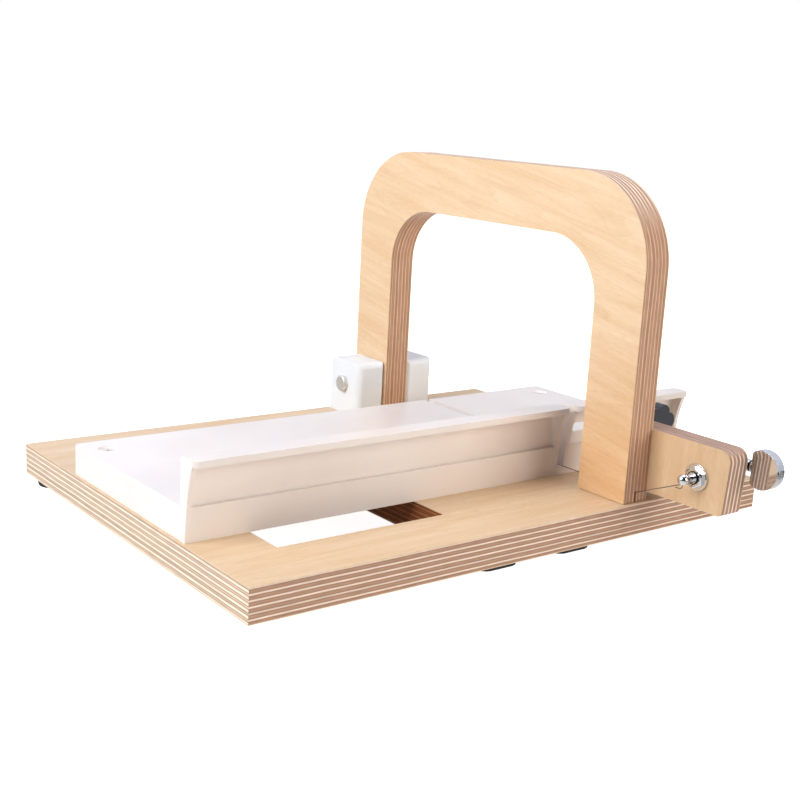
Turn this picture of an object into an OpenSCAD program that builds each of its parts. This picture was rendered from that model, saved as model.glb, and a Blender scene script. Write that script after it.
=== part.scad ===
// Soap cutter: a plywood board carries a moulded tray with a slotted fence, and a hinged
// plywood bow draws a tuned steel wire down through the soap into a slot in the tray.
// Millimetres. Origin: middle of the board's underside. X runs along the board to the
// right, Y away from the user, Z up. The bow is drawn closed, with its leg on the board.

/* [Base board] */
// Length of the base board
base_l = 350; // [330:1:400]
// Width of the base board
base_w = 260; // [250:1:300]
// Thickness of the base board
base_t = 18; // [15:0.5:24]
// Length of the rectangular cut-out
cut_l = 102; // [60:1:120]
// Width of the rectangular cut-out
cut_w = 73; // [50:1:90]
// Distance from the left end to the cut-out
cut_left = 37; // [20:1:50]
// Distance from the near edge to the cut-out
cut_near = 37; // [20:1:50]

/* [Feet] */
// Diameter of the two round feet
foot_d = 20; // [16:1:30]
// Height of the feet and pads
foot_h = 6; // [4:0.5:10]
// Distance from the board's end to a round foot's centre
foot_inset = 13; // [10:0.5:40]
// Distance from the board's far edge to a round foot's centre
foot_setback = 10.5; // [10:0.5:40]
// Length of the two low pads near the user
pad_l = 26; // [20:1:40]
// Width of the low pads
pad_w = 14; // [10:1:20]
// Distance between the pads' centres
pad_pitch = 53; // [42:1:80]
// How far the pads sit to the right of the board's middle
pad_shift = 8; // [-20:1:20]
// Distance from the near edge to the pads
pad_inset = 8.5; // [3:0.5:20]
// Corner radius of the low pads
pad_r = 6; // [2:0.5:6.5]
// Diameter of the screws that hold the round feet
foot_screw_d = 3; // [2.5:0.5:4]

/* [Tray] */
// Gap from the board's left end to the tray
tray_left = 1.2; // [0:0.1:6]
// Gap from the board's right end to the tray
tray_right = 4.5; // [0:0.1:8]
// Width of the tray across the soap
tray_w = 127.5; // [110:0.5:140]
// Height of the bed above the board
tray_h = 17.4; // [14:0.2:24]
// Wall thickness of the tray
tray_wall = 3; // [2.4:0.1:4]
// Height of the fence's top above the bed
fence_h = 25.2; // [22:0.2:40]
// Thickness of the fence
fence_t = 2.5; // [2:0.1:4]
// How far the fence stands in from the tray's near face
fence_recess = 2.5; // [1.5:0.1:4]
// Width of the lip on the fence, from its front to the fence's inner face
lip_w = 14; // [12:0.5:18]
// Thickness of the lip
lip_t = 3.4; // [2.5:0.1:5]
// Corner radius of the lip's ends
lip_r = 4; // [2:0.5:6]
// Radius along the lip's top edge on the soap side
lip_edge_r = 2.5; // [1:0.1:3]
// Thickness of the ribs at the ends of the fence panels
rib_t = 2.6; // [2:0.1:5]
// Corner radius of the fence's right end on the soap side
fence_end_r = 7.5; // [1:0.5:8]
// Radius where a fence panel runs into a rib
rib_fillet = 2.4; // [1:0.1:3]
// Distance from the tray's ends to its screws
tray_screw_in = 11.8; // [9:0.2:30]
// Distance from the tray's far face to its screws
tray_screw_back = 16.3; // [10:0.2:60]
// Thread diameter of the tray screws
tray_screw_d = 4; // [3:0.5:5]
// How far the tray screws' heads lie below the bed
tray_screw_sink = 1.2; // [0:0.1:2]
// Diameter of the bosses under the tray screws
tray_boss_d = 12; // [10:0.5:16]
// Thickness of the stiffening ribs under the bed
bed_rib_t = 2; // [1.5:0.1:3]
// Height of the stiffening ribs under the bed
bed_rib_h = 6; // [3:0.5:9]

/* [Wire and its slot] */
// Distance from the board's left end to the wire
wire_from_left = 246.3; // [200:0.1:262]
// Height of the wire above the board
wire_h = 6; // [5.5:0.1:8]
// Diameter of the wire
wire_d = 0.6; // [0.3:0.1:1]
// Width of the slot through the tray
slot_w = 4.8; // [2:0.1:6]
// Height of the slot's floor above the board
slot_floor = 5; // [3:0.1:5]
// Width of the saw kerfs in the bow's legs
kerf_w = 1.6; // [1.2:0.1:2.4]
// Diameter of the brass ball end that anchors the wire
ball_end_d = 4; // [3:0.1:5]
// Length of the brass ball end
ball_end_l = 3.5; // [2.5:0.1:5]

/* [Bow] */
// Thickness of the bow
bow_t = 18; // [15:0.5:24]
// Height of the bow's top above the board
bow_h = 177.5; // [150:0.5:220]
// Width of the bow's legs
leg_w = 35; // [30:0.5:38]
// Height of the bow's top bar
bar_h = 36.2; // [28:0.2:45]
// Radius of the bow's outer corners
bow_r_out = 50; // [20:1:55]
// Radius of the bow's inner corners
bow_r_in = 36.5; // [15:0.5:45]
// Distance from the board's near edge to the near leg
bow_setback = 2.1; // [0:0.1:6]
// Gap between the near leg and the lip of the fence
leg_fence_gap = 15.9; // [12:0.1:24]
// Gap left under the legs when the bow is closed
rest_gap = 0.3; // [0.2:0.1:1]

/* [Hinge] */
// Distance from the board's far edge to the pivot
pivot_inset = 18.4; // [17.5:0.1:30]
// Height of the pivot above the board
pivot_h = 20.7; // [20:0.1:26]
// Diameter of the pivot bolt
bolt_d = 6; // [5:0.5:8]
// Width across the flats of the bolt head and the nut
bolt_af = 10; // [10:0.5:13]
// Height of the bolt head
bolt_head_h = 2.8; // [2.4:0.1:6]
// Height of the lock nut
nut_h = 6; // [4:0.5:8]
// Thickness of the washer under the nut
bolt_washer_t = 1.6; // [1:0.1:2]
// Thickness of each pivot block, along the bolt
block_t = 22; // [14:0.5:26]
// How far each pivot block stands past the leg at either side
block_side = 0; // [-2:0.5:4]
// Height of each pivot block
block_h = 36.5; // [32:0.5:50]
// Radius on the edges of the pivot blocks
block_r = 4.5; // [1:0.5:6]
// Running gap between the bow and each block
hinge_gap = 0.3; // [0.2:0.1:0.8]
// Diameter of the screws that hold the blocks
block_screw_d = 5; // [4:0.5:6]
// Distance between the two screws of a block
block_screw_pitch = 22; // [18:0.5:24]

/* [Tuner arm] */
// Thickness of the tuner arm
arm_t = 15; // [12:0.5:18]
// Length of the tuner arm
arm_l = 88.4; // [80:0.2:110]
// How far the arm's lower outer corner stands back from the upper one
arm_end_lean = 1.8; // [0:0.2:6]
// Height of the tuner arm
arm_h = 35.6; // [30:0.2:45]
// How far the arm sits above the leg's foot
arm_rise = 5; // [2:0.2:12]
// Radius of the arm's upper outer corner
arm_r_top = 6.5; // [2:0.5:12]
// Radius of the arm's lower outer corner
arm_r_low = 2.5; // [1:0.5:10]
// Thread diameter of the screws that hold the arm
arm_screw_d = 4; // [3:0.5:5]
// Length of the screws that hold the arm
arm_screw_l = 25; // [20:1:30]

/* [Tuner] */
// Distance from the arm's outer end to the tuner post
post_in = 19.8; // [17:0.1:26]
// Height of the tuner post above the arm's lower edge
post_up = 17.4; // [14:0.1:20]
// Diameter of the tuner post
post_d = 6; // [5.6:0.1:7]
// How far the post stands out of the arm
post_out = 14.2; // [11:0.1:16]
// Diameter of the ball at the post's tip
post_ball_d = 6; // [4:0.1:7]
// Diameter of the post's waist, where the wire winds
post_waist_d = 3.6; // [2.6:0.1:4]
// Width across the flats of the tuner bushing
bush_af = 10.6; // [10:0.1:12]
// Thickness of the bushing's hexagon
bush_head_h = 2; // [1.5:0.1:3.5]
// Outer diameter of the bushing's sleeve
bush_d = 9; // [8.6:0.1:9.6]
// Length of the bushing's sleeve inside the arm
bush_l = 9; // [6:0.5:11]
// Outer diameter of the washer under the bushing
tuner_washer_d = 15; // [13:0.5:18]
// Thickness of the washer under the bushing
tuner_washer_t = 1.5; // [0.6:0.1:2]
// Distance between the worm's and the gear's centre lines
worm_rise = 8; // [7.8:0.1:8.4]
// Distance from the arm's rear face to the worm's centre line
worm_out = 5.9; // [5.4:0.1:7]
// Number of teeth on the gear
gear_teeth = 15; // [13:1:15]
// Outer diameter of the gear
gear_d = 12; // [11.6:0.1:12.2]
// Width of the gear
gear_w = 4; // [3:0.1:5]
// Diameter of the worm's shaft
worm_shaft_d = 3.2; // [3:0.1:3.6]
// Wall thickness of the gear housing
case_wall = 1.6; // [1.2:0.1:2.2]
// Thickness of the plate between the housing and the arm
case_plate_t = 1; // [0.8:0.1:1.5]
// Diameter of the housing's neck round the worm's shaft
neck_d = 6.6; // [6.2:0.1:8.4]
// Height of the tuner button
button_h = 21.2; // [18:0.2:26]
// Length of the tuner button, away from the arm
button_l = 16.6; // [14:0.2:20]
// Thickness of the tuner button
button_t = 6; // [5:0.5:9]

/* [Stop] */
// Slice thickness set: distance from the wire to the stop's face
slice_t = 54; // [8:0.5:70]
// Distance from the wire to the start of the stop's window
window_start = 10.5; // [8:0.5:20]
// Length of the window in the fence
window_l = 78; // [76:1:82]
// Height of the window in the fence
window_h = 5.5; // [5.3:0.1:7]
// Height of the window's centre line above the bed
window_up = 9.4; // [8:0.1:14]
// Length of the stop's foot along the fence
stop_foot = 24; // [18:1:30]
// How far the stop reaches over the bed
stop_reach = 30; // [20:1:90]
// Height of the stop
stop_h = 20; // [17:0.5:24]
// Thickness of the stop's metal
stop_t = 3; // [2:0.1:4]
// Diameter of the clamp bolt
stop_bolt_d = 5; // [4:0.1:5]
// Thickness of the washer behind the knob
stop_washer_t = 1.2; // [0.8:0.1:1.6]
// Overall diameter of the six-lobed knob
knob_d = 25; // [20:0.5:25]
// Thickness of the knob's lobed head
knob_t = 7; // [5:0.5:10]
// Number of lobes on the knob
knob_lobes = 6; // [5:1:7]
// Angle that the knob was left at
knob_turn = 13.5; // [0:0.5:60]
// Radius of each lobe
lobe_r = 5; // [4:0.1:5.5]
// Gap from the knob's head to the lip in front of the fence
knob_lip_gap = 1; // [0.6:0.1:2]
// Diameter of the knob's hub
hub_d = 13; // [11:0.5:16]
// Diameter of the brass insert in the knob
insert_d = 8; // [7:0.2:9]

/* [Hidden] */
$fn = 48;

// A running fit between a shaft and its hole, on the radius
run_fit = 0.05;
// A loose hole round a screw or bolt, on the radius
loose_fit = 0.2;
// A cut that runs past a face
over = 1;

// Places on the board
left = -base_l / 2;
right = base_l / 2;
near = -base_w / 2;
far = base_w / 2;
wire_x = left + wire_from_left;
wire_z = base_t + wire_h;

// The bow and its pivot
leg_z = base_t + rest_gap;
bow_top = base_t + bow_h;
near_leg_out = near + bow_setback;
near_leg_in = near_leg_out + leg_w;
pivot_y = far - pivot_inset;
pivot_z = base_t + pivot_h;
far_leg_in = pivot_y - leg_w / 2;
far_leg_out = pivot_y + leg_w / 2;
block_w = leg_w + 2 * block_side;
bow_x0 = wire_x - bow_t / 2;
bow_x1 = wire_x + bow_t / 2;
block_x0 = bow_x0 - hinge_gap - block_t;
block_x1 = bow_x1 + hinge_gap + block_t;
heel_r = pivot_h - rest_gap;
kerf_z = wire_z + wire_d / 2;
anchor_d = ball_end_d + 1;
// The ball end stays inside the rounded heel as the bow turns
anchor_y = pivot_y + sqrt(heel_r ^ 2 - (pivot_h - wire_h + ball_end_d / 2) ^ 2) - ball_end_l - 1;

// The tray and its fence
tray_x0 = left + tray_left;
tray_x1 = right - tray_right;
lip_y = near_leg_in + leg_fence_gap;
fence_in = lip_y + lip_w;
fence_out = fence_in - fence_t;
tray_y0 = fence_out - fence_recess;
tray_y1 = tray_y0 + tray_w;
bed_z = base_t + tray_h;
lip_z1 = bed_z + fence_h;
lip_z0 = lip_z1 - lip_t;
slot_x0 = wire_x - slot_w / 2;
slot_x1 = wire_x + slot_w / 2;
tray_screw_y = tray_y1 - tray_screw_back;
tray_screw_x = [tray_x0 + tray_screw_in, tray_x1 - tray_screw_in];
tray_screw_l = tray_h + base_t * 0.7;

// The tuner arm and what it carries
arm_x0 = bow_x1;
arm_x1 = bow_x1 + arm_t;
arm_y0 = near_leg_in - arm_l;
arm_z0 = leg_z + arm_rise;
arm_z1 = arm_z0 + arm_h;
arm_screw_at = [
    [near_leg_out + leg_w * 0.3, arm_z0 + arm_h * 0.3],
    [near_leg_out + leg_w * 0.7, arm_z0 + arm_h * 0.7],
];
post_y = arm_y0 + post_in;
post_z = arm_z0 + post_up;
post_tip_x = arm_x0 - post_out;
wind_x = post_tip_x + post_ball_d * 0.94;
wind_gap = 0.15;
wind_turns = 1;
// Bends in the wire's cut end, as Y and Z from the post's centre
wire_tail = [[2.2, -3.4], [3.3, -6], [3.9, -6.5], [7.4, -6.6]];
wind_r = post_waist_d / 2 + wind_gap + wire_d / 2;
wind_l = (wire_d + wind_gap) * wind_turns;
ring_t = 0.6;
ring_x = arm_x0 - tuner_washer_t - bush_head_h - ring_t;

// The gear housing behind the arm
case_x0 = arm_x1 + case_plate_t;
case_gap = 0.4;
gear_x = arm_x1 + worm_out;
worm_z = post_z + worm_rise;
worm_pitch = PI * (gear_d - 1) / gear_teeth;
worm_r = worm_rise - gear_d / 2 + 0.5;
worm_offset = 0.5;
worm_turns = 4;
worm_l = worm_turns * worm_pitch;
case_in_r = gear_d / 2 + case_gap;
case_y0 = post_y - case_in_r - case_wall;
case_y1 = post_y + case_in_r + case_wall;
case_z0 = post_z - case_in_r - case_wall;
gear_head_room = 1.4;
case_x1 = gear_x + worm_r + case_gap + case_wall + gear_head_room;
case_r = 2;
ear_r = 3.4;
bush_round_d = bush_af / cos(30) + 0.4;
ear_screw_d = 2.2;
ear_screw_l = 7;
ear_head_d = 4.4;
ear_head_h = 1.4;
ear_z = case_z0 - ear_r + 0.6;
neck_y = post_y - 17.8;
gear_seat_d = 3.6;

// The collars and the button on the worm's shaft
friction_t = 1;
collar_t = 1;
button_gap = 0.3;
collar_y = neck_y - friction_t - collar_t - 0.1;
button_y1 = collar_y - button_gap;
button_y0 = button_y1 - button_l;
button_corner = 2.4;
button_grip = 5;
shaft_end = 1;
button_screw_d = 2;

// The stop, its bolt and its knob
stop_face_x = wire_x + slice_t;
stud_x = stop_face_x + stop_foot / 2;
window_x0 = wire_x + window_start;
window_x1 = window_x0 + window_l;
window_z = bed_z + window_up;
stop_gap = 0.2;
stop_y = fence_in + stop_gap;
stop_z = bed_z + 0.6;
knob_y1 = lip_y - knob_lip_gap;
knob_y0 = knob_y1 - knob_t;
washer_y0 = fence_out - stop_gap - stop_washer_t;
hub_y1 = washer_y0 - run_fit;
stop_head_h = 3.3;
stop_head_af = 8;

plywood = [0.88, 0.76, 0.60];
white_plastic = [0.93, 0.92, 0.93];
steel = [0.72, 0.73, 0.75];
chrome = [0.80, 0.81, 0.83];
rubber = [0.10, 0.10, 0.11];
slate = [0.24, 0.25, 0.28];
brass = [0.80, 0.66, 0.36];
aluminium = [0.76, 0.77, 0.79];

// A cylinder along +X, +Y or +Z from a point
module rod(at, axis, d, l) {
    turn = axis == "x" ? [0, 90, 0] : axis == "y" ? [-90, 0, 0] : [0, 0, 0];
    translate(at) rotate(turn) cylinder(d = d, h = l);
}

// A box from its lowest corner to its highest corner
module box(a, b) {
    translate(a) cube(b - a);
}

// A rectangle with true arcs at its corners, from corner a to corner b
module round_rect(a, b, r) {
    translate(a + [r, 0]) square(b - a - [2 * r, 0]);
    translate(a + [0, r]) square(b - a - [0, 2 * r]);
    for (x = [a[0] + r, b[0] - r], y = [a[1] + r, b[1] - r]) translate([x, y]) circle(r);
}

// Stands a Y-Z outline up, so that it runs along X from x0 for a length l
module along_x(x0, l) {
    translate([x0, 0, 0]) rotate([90, 0, 90]) linear_extrude(l) children();
}

// A countersunk screw pointing along -Z, its flat head's top at the origin
module flat_screw(d, l) {
    difference() {
        union() {
            translate([0, 0, -d / 2]) cylinder(d1 = d, d2 = 2 * d, h = d / 2);
            translate([0, 0, -l + d]) cylinder(d = d, h = l - d - d / 2 + 0.1);
            translate([0, 0, -l]) cylinder(d1 = 0.3, d2 = d, h = d);
        }
        cross_recess(d);
    }
}

// The cross recess in the head of a screw of diameter d
module cross_recess(d) {
    for (a = [0, 90])
        rotate([0, 0, a]) translate([-d / 2, -d / 12, -d * 0.3]) cube([d, d / 6, d * 0.3 + over]);
}

// The hole along -Z that a countersunk screw leaves, its head's top at the origin and sink below the face
module flat_hole(d, l, sink = 0) {
    mouth_d = 2 * (d + 2 * run_fit + sink);
    translate([0, 0, -l]) cylinder(d = d + 2 * run_fit, h = l);
    translate([0, 0, -d / 2 - run_fit])
        cylinder(d1 = d + 2 * run_fit, d2 = mouth_d, h = d / 2 + run_fit + sink);
    translate([0, 0, sink - 0.01]) cylinder(d = mouth_d, h = over);
}

// Base board, its cut-out and its screw holes
module base_board() {
    color(plywood) difference() {
        box([left, near, 0], [right, far, base_t]);
        box([left + cut_left, near + cut_near, -over],
            [left + cut_left + cut_l, near + cut_near + cut_w, base_t + over]);
        at_tray_screws() flat_hole(tray_screw_d, tray_screw_l + 1);
        at_block_screws() flat_hole(block_screw_d, block_screw_l() + 1);
        at_round_feet() translate([0, 0, -over])
            cylinder(d = foot_screw_d + 2 * run_fit, h = base_t / 2 + 1 + over);
    }
}

// Puts its children under the two far corners, at the board's underside
module at_round_feet() {
    for (x = [left + foot_inset, right - foot_inset])
        translate([x, far - foot_setback, 0]) children();
}

// Two round rubber feet, with a countersunk screw hole from below
module round_feet() {
    color(rubber) at_round_feet() difference() {
        translate([0, 0, -foot_h]) cylinder(d1 = foot_d - 2, d2 = foot_d, h = foot_h);
        translate([0, 0, -foot_h - over]) cylinder(d = foot_screw_d * 2 + 1, h = foot_h / 2 + over);
        translate([0, 0, -foot_h]) cylinder(d = foot_screw_d + 2 * run_fit, h = foot_h + over);
    }
}

// Screws that hold the round feet
module foot_screws() {
    head_h = foot_screw_d * 0.6;
    color(steel) at_round_feet() translate([0, 0, -foot_h / 2]) difference() {
        union() {
            translate([0, 0, -head_h]) cylinder(d = foot_screw_d * 2, h = head_h);
            translate([0, 0, -0.5]) cylinder(d = foot_screw_d, h = foot_h / 2 + base_t / 2 + 0.5);
        }
        translate([0, 0, -head_h]) mirror([0, 0, 1]) cross_recess(foot_screw_d);
    }
}

// Two low rubber pads in the middle of the near side
module front_pads() {
    color(rubber) for (x = [pad_shift - pad_pitch / 2, pad_shift + pad_pitch / 2])
        translate([0, 0, -foot_h]) linear_extrude(foot_h)
            round_rect([x - pad_l / 2, near + pad_inset],
                       [x + pad_l / 2, near + pad_inset + pad_w], pad_r);
}

// Outer edge of a fence rib as distance out from the tray's near face and height
function rib_edge(t) =
    let (p0 = [0, base_t], p1 = [1.2, base_t + tray_h * 0.8],
         p2 = [1.6, bed_z + fence_h * 0.42], p3 = [tray_y0 - lip_y - 2.2, lip_z0 + 0.8], s = 1 - t)
    s * s * s * p0 + 3 * s * s * t * p1 + 3 * s * t * t * p2 + t * t * t * p3;

// Y-Z outline of a rib at the end of a fence panel
module rib_outline() {
    edge = [for (i = [0:12]) let (p = rib_edge(i / 12)) [tray_y0 - p[0], p[1]]];
    polygon(concat(edge, [[fence_in - 0.5, lip_z0 + 0.8], [fence_in - 0.5, base_t]]));
}

// A fillet of radius r that runs up a fence panel beside a rib; side is 1 to the right of x
module panel_fillet(x, side, r) {
    translate([0, 0, bed_z - 0.5]) linear_extrude(lip_z0 - bed_z + 1) difference() {
        translate([min(x, x + side * r), fence_out - r]) square([r, r + 0.5]);
        translate([x + side * r, fence_out - r]) circle(r);
    }
}

// The lip of one fence panel from x0 to x1, rounded in plan at its front corners
module lip(x0, x1) {
    difference() {
        translate([0, 0, lip_z0]) linear_extrude(lip_t) {
            round_rect([x0, lip_y], [x1, fence_in], lip_r);
            translate([x0, lip_y + lip_r]) square([x1 - x0, lip_w - lip_r]);
        }
        difference() {
            box([x0 - over, fence_in - lip_edge_r, lip_z1 - lip_edge_r],
                [x1 + over, fence_in + over, lip_z1 + over]);
            rod([x0 - 2 * over, fence_in - lip_edge_r, lip_z1 - lip_edge_r], "x",
                2 * lip_edge_r, x1 - x0 + 4 * over);
        }
    }
}

// What rounds the fence and its lip off at the right end, on the soap side
module fence_corner() {
    translate([tray_x1 - fence_end_r, fence_in - fence_end_r, bed_z]) linear_extrude(fence_h + over)
        difference() {
            square(fence_end_r + over);
            circle(fence_end_r);
        }
}

// Tray moulding: bed on skirts, a channel for the wire, and the slotted fence with its lip
module tray() {
    color(white_plastic) difference() {
        union() {
            box([tray_x0, tray_y0, bed_z - tray_wall], [tray_x1, tray_y1, bed_z]);
            for (y = [tray_y0, tray_y1 - tray_wall])
                box([tray_x0, y, base_t], [tray_x1, y + tray_wall, bed_z]);
            for (x = [tray_x0, tray_x1 - tray_wall])
                box([x, tray_y0, base_t], [x + tray_wall, tray_y1, bed_z]);
            box([slot_x0 - tray_wall, tray_y0, base_t], [slot_x1 + tray_wall, tray_y1, bed_z]);
            for (x = tray_screw_x) rod([x, tray_screw_y, base_t], "z", tray_boss_d, tray_h - 0.5);
            bed_ribs();
            box([tray_x0, fence_out, bed_z - 0.5], [tray_x1, fence_in, lip_z0 + 0.5]);
            for (x = [tray_x0, slot_x0 - rib_t, slot_x1, tray_x1 - rib_t]) along_x(x, rib_t) rib_outline();
            panel_fillet(tray_x0 + rib_t, 1, rib_fillet);
            panel_fillet(slot_x0 - rib_t, -1, rib_fillet);
            panel_fillet(slot_x1 + rib_t, 1, rib_fillet / 2);
            panel_fillet(tray_x1 - rib_t, -1, rib_fillet);
            lip(tray_x0, slot_x0);
            lip(slot_x1, tray_x1);
        }
        box([slot_x0, tray_y0 - lip_w, base_t + slot_floor], [slot_x1, tray_y1 + over, lip_z1 + over]);
        fence_window();
        fence_corner();
        at_tray_screws() flat_hole(tray_screw_d, tray_h + over, tray_screw_sink);
    }
}

// Ribs across the tray's underside, spaced evenly on both sides of the channel
module bed_ribs() {
    for (span = [[tray_x0, slot_x0], [slot_x1, tray_x1]]) {
        cells = max(1, round((span[1] - span[0]) / 80));
        for (i = [1:1:cells - 1]) {
            x = span[0] + i * (span[1] - span[0]) / cells - bed_rib_t / 2;
            box([x, tray_y0, bed_z - tray_wall - bed_rib_h],
                [x + bed_rib_t, tray_y1, bed_z - tray_wall / 2]);
        }
    }
}

// The window that the stop's bolt slides in
module fence_window() {
    for (x = [window_x0 + window_h / 2, window_x1 - window_h / 2])
        rod([x, fence_out - over, window_z], "y", window_h, fence_t + 2 * over);
    box([window_x0 + window_h / 2, fence_out - over, window_z - window_h / 2],
        [window_x1 - window_h / 2, fence_in + over, window_z + window_h / 2]);
}

// Puts its children at the tops of the tray screws' heads
module at_tray_screws() {
    for (x = tray_screw_x) translate([x, tray_screw_y, bed_z - tray_screw_sink]) children();
}

// Screws that hold the tray to the board
module tray_screws() {
    color(steel) at_tray_screws() flat_screw(tray_screw_d, tray_screw_l);
}

// A pivot block from x0, with rounded upright and top edges, its bore and its screw holes
module pivot_block(x0) {
    color(white_plastic) difference() {
        intersection() {
            along_x(x0, block_t)
                round_rect([pivot_y - block_w / 2, base_t - block_r * 2],
                           [pivot_y + block_w / 2, base_t + block_h], block_r);
            translate([0, 0, base_t]) linear_extrude(block_h)
                round_rect([x0, pivot_y - block_w / 2], [x0 + block_t, pivot_y + block_w / 2], block_r);
        }
        rod([x0 - over, pivot_y, pivot_z], "x", bolt_d + 2 * loose_fit, block_t + 2 * over);
        at_block_screws() flat_hole(block_screw_d, block_screw_l() + 1);
    }
}
module pivot_block_front() { pivot_block(block_x0); }
module pivot_block_rear() { pivot_block(block_x1 - block_t); }

// Length of the screws that come up through the board into the blocks
function block_screw_l() = base_t + block_h * 0.55;

// Puts its children at the heads of the block screws, under the board, pointing up
module at_block_screws() {
    for (x = [block_x0 + block_t / 2, block_x1 - block_t / 2],
         y = [pivot_y - block_screw_pitch / 2, pivot_y + block_screw_pitch / 2])
        translate([x, y, 0]) mirror([0, 0, 1]) children();
}

// Countersunk screws that hold the blocks from below
module block_screws() {
    color(steel) at_block_screws() flat_screw(block_screw_d, block_screw_l());
}

// Hexagon bolt that the bow turns on, its head on the front block
module pivot_bolt() {
    shank = block_x1 + bolt_washer_t + nut_h + 2 - block_x0;
    color(steel) {
        translate([block_x0 - bolt_head_h, pivot_y, pivot_z]) rotate([0, 90, 0]) intersection() {
            rotate([0, 0, 30]) cylinder(d = bolt_af / cos(30), h = bolt_head_h, $fn = 6);
            union() {
                cylinder(d1 = bolt_af * 0.94, d2 = bolt_af / cos(30) + 0.4, h = 1);
                translate([0, 0, 1]) cylinder(d = bolt_af / cos(30) + 0.4, h = bolt_head_h - 1);
            }
        }
        rod([block_x0 - 0.5, pivot_y, pivot_z], "x", bolt_d, shank + 0.5);
    }
}

// Washer under the lock nut
module pivot_washer() {
    color(steel) difference() {
        rod([block_x1, pivot_y, pivot_z], "x", bolt_d * 2, bolt_washer_t);
        rod([block_x1 - over, pivot_y, pivot_z], "x", bolt_d + 2 * loose_fit, bolt_washer_t + 2 * over);
    }
}

// Lock nut on the rear block
module pivot_nut() {
    color(steel) difference() {
        translate([block_x1 + bolt_washer_t, pivot_y, pivot_z]) rotate([0, 90, 0]) {
            cylinder(d = bolt_af / cos(30), h = nut_h * 0.75, $fn = 6);
            cylinder(d = bolt_af * 0.9, h = nut_h);
        }
        rod([block_x1, pivot_y, pivot_z], "x", bolt_d + 2 * run_fit, nut_h + bolt_washer_t + over);
    }
}

// Y-Z outline of the bow: an arch whose heel is rounded about the pivot
module bow_outline() {
    difference() {
        union() {
            difference() {
                bow_blank();
                translate([pivot_y, leg_z - over]) square([leg_w, pivot_h + over]);
            }
            intersection() {
                translate([pivot_y, pivot_z]) circle(heel_r, $fn = 96);
                translate([pivot_y - over, leg_z]) square([leg_w / 2 + over, pivot_h + over]);
            }
        }
        translate([0, -bow_r_in])
            round_rect([near_leg_in, leg_z - over], [far_leg_in, bow_top - bar_h + bow_r_in], bow_r_in);
        translate([near_leg_in, leg_z - over])
            square([far_leg_in - near_leg_in, bow_top - bar_h - bow_r_in - leg_z + over]);
    }
}

// The bow's outer outline, with its heel still square
module bow_blank() {
    translate([near_leg_out, leg_z]) square([far_leg_out - near_leg_out, bow_top - bow_r_out - leg_z]);
    translate([near_leg_out + bow_r_out, leg_z])
        square([far_leg_out - near_leg_out - 2 * bow_r_out, bow_top - leg_z]);
    for (y = [near_leg_out + bow_r_out, far_leg_out - bow_r_out])
        translate([y, bow_top - bow_r_out]) circle(bow_r_out, $fn = 96);
}

// Plywood bow with its pivot bore, the two wire kerfs and the ball end's seat
module bow_frame() {
    color(plywood) difference() {
        along_x(bow_x0, bow_t) bow_outline();
        rod([bow_x0 - over, pivot_y, pivot_z], "x", bolt_d + 2 * run_fit, bow_t + 2 * over);
        for (y = [near_leg_out - over, far_leg_in - over])
            box([wire_x - kerf_w / 2, y, leg_z - over],
                [wire_x + kerf_w / 2, y + leg_w + 2 * over, kerf_z + run_fit]);
        rod([wire_x, anchor_y, wire_z], "y", anchor_d, leg_w);
        for (p = arm_screw_at) translate([arm_x1, p[0], p[1]]) rotate([0, 90, 0])
            flat_hole(arm_screw_d, arm_screw_l + 1);
    }
}

// Plywood arm behind the near leg, bored for the tuner
module tuner_arm() {
    color(plywood) difference() {
        along_x(arm_x0, arm_t) hull() {
            translate([arm_y0 + arm_r_top, arm_z1 - arm_r_top]) circle(arm_r_top);
            translate([arm_y0 + arm_end_lean + arm_r_low, arm_z0 + arm_r_low]) circle(arm_r_low);
            translate([near_leg_in - leg_w, arm_z0]) square([leg_w, arm_h]);
        }
        rod([arm_x0 - over, post_y, post_z], "x", bush_d + 2 * loose_fit, arm_t + 2 * over);
        for (p = arm_screw_at) translate([arm_x1, p[0], p[1]]) rotate([0, 90, 0])
            flat_hole(arm_screw_d, arm_screw_l + 1);
        translate([arm_x1, post_y, ear_z]) rotate([0, 90, 0])
            translate([0, 0, -8]) cylinder(d = ear_screw_d + 2 * run_fit, h = 8 + over);
    }
}

// Countersunk screws from the arm's rear face into the near leg
module arm_screws() {
    color(steel) for (p = arm_screw_at)
        translate([arm_x1, p[0], p[1]]) rotate([0, 90, 0]) flat_screw(arm_screw_d, arm_screw_l);
}

function unit(v) = v / norm(v);

// Centre line of the wire: ball end, both kerfs, round the post's waist, then its cut end
function wire_route() =
    let (exit = [wire_x, near_leg_out, wire_z],
         down = atan2(post_z - wire_z, near_leg_out - post_y),
         start = 180 + 90 - down + asin(wind_r / norm([near_leg_out - post_y, post_z - wire_z])),
         steps = 32)
    concat([[wire_x, anchor_y, wire_z], exit + [0, 3, 0], exit],
           [for (i = [0:steps])
               let (a = start - i / steps * wind_turns * 360)
               [wind_x + (i / steps) * wind_l, post_y + wind_r * cos(a), post_z + wind_r * sin(a)]],
           [for (p = wire_tail) [wind_x + wind_l, post_y + p[0], post_z + p[1]]]);

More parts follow.
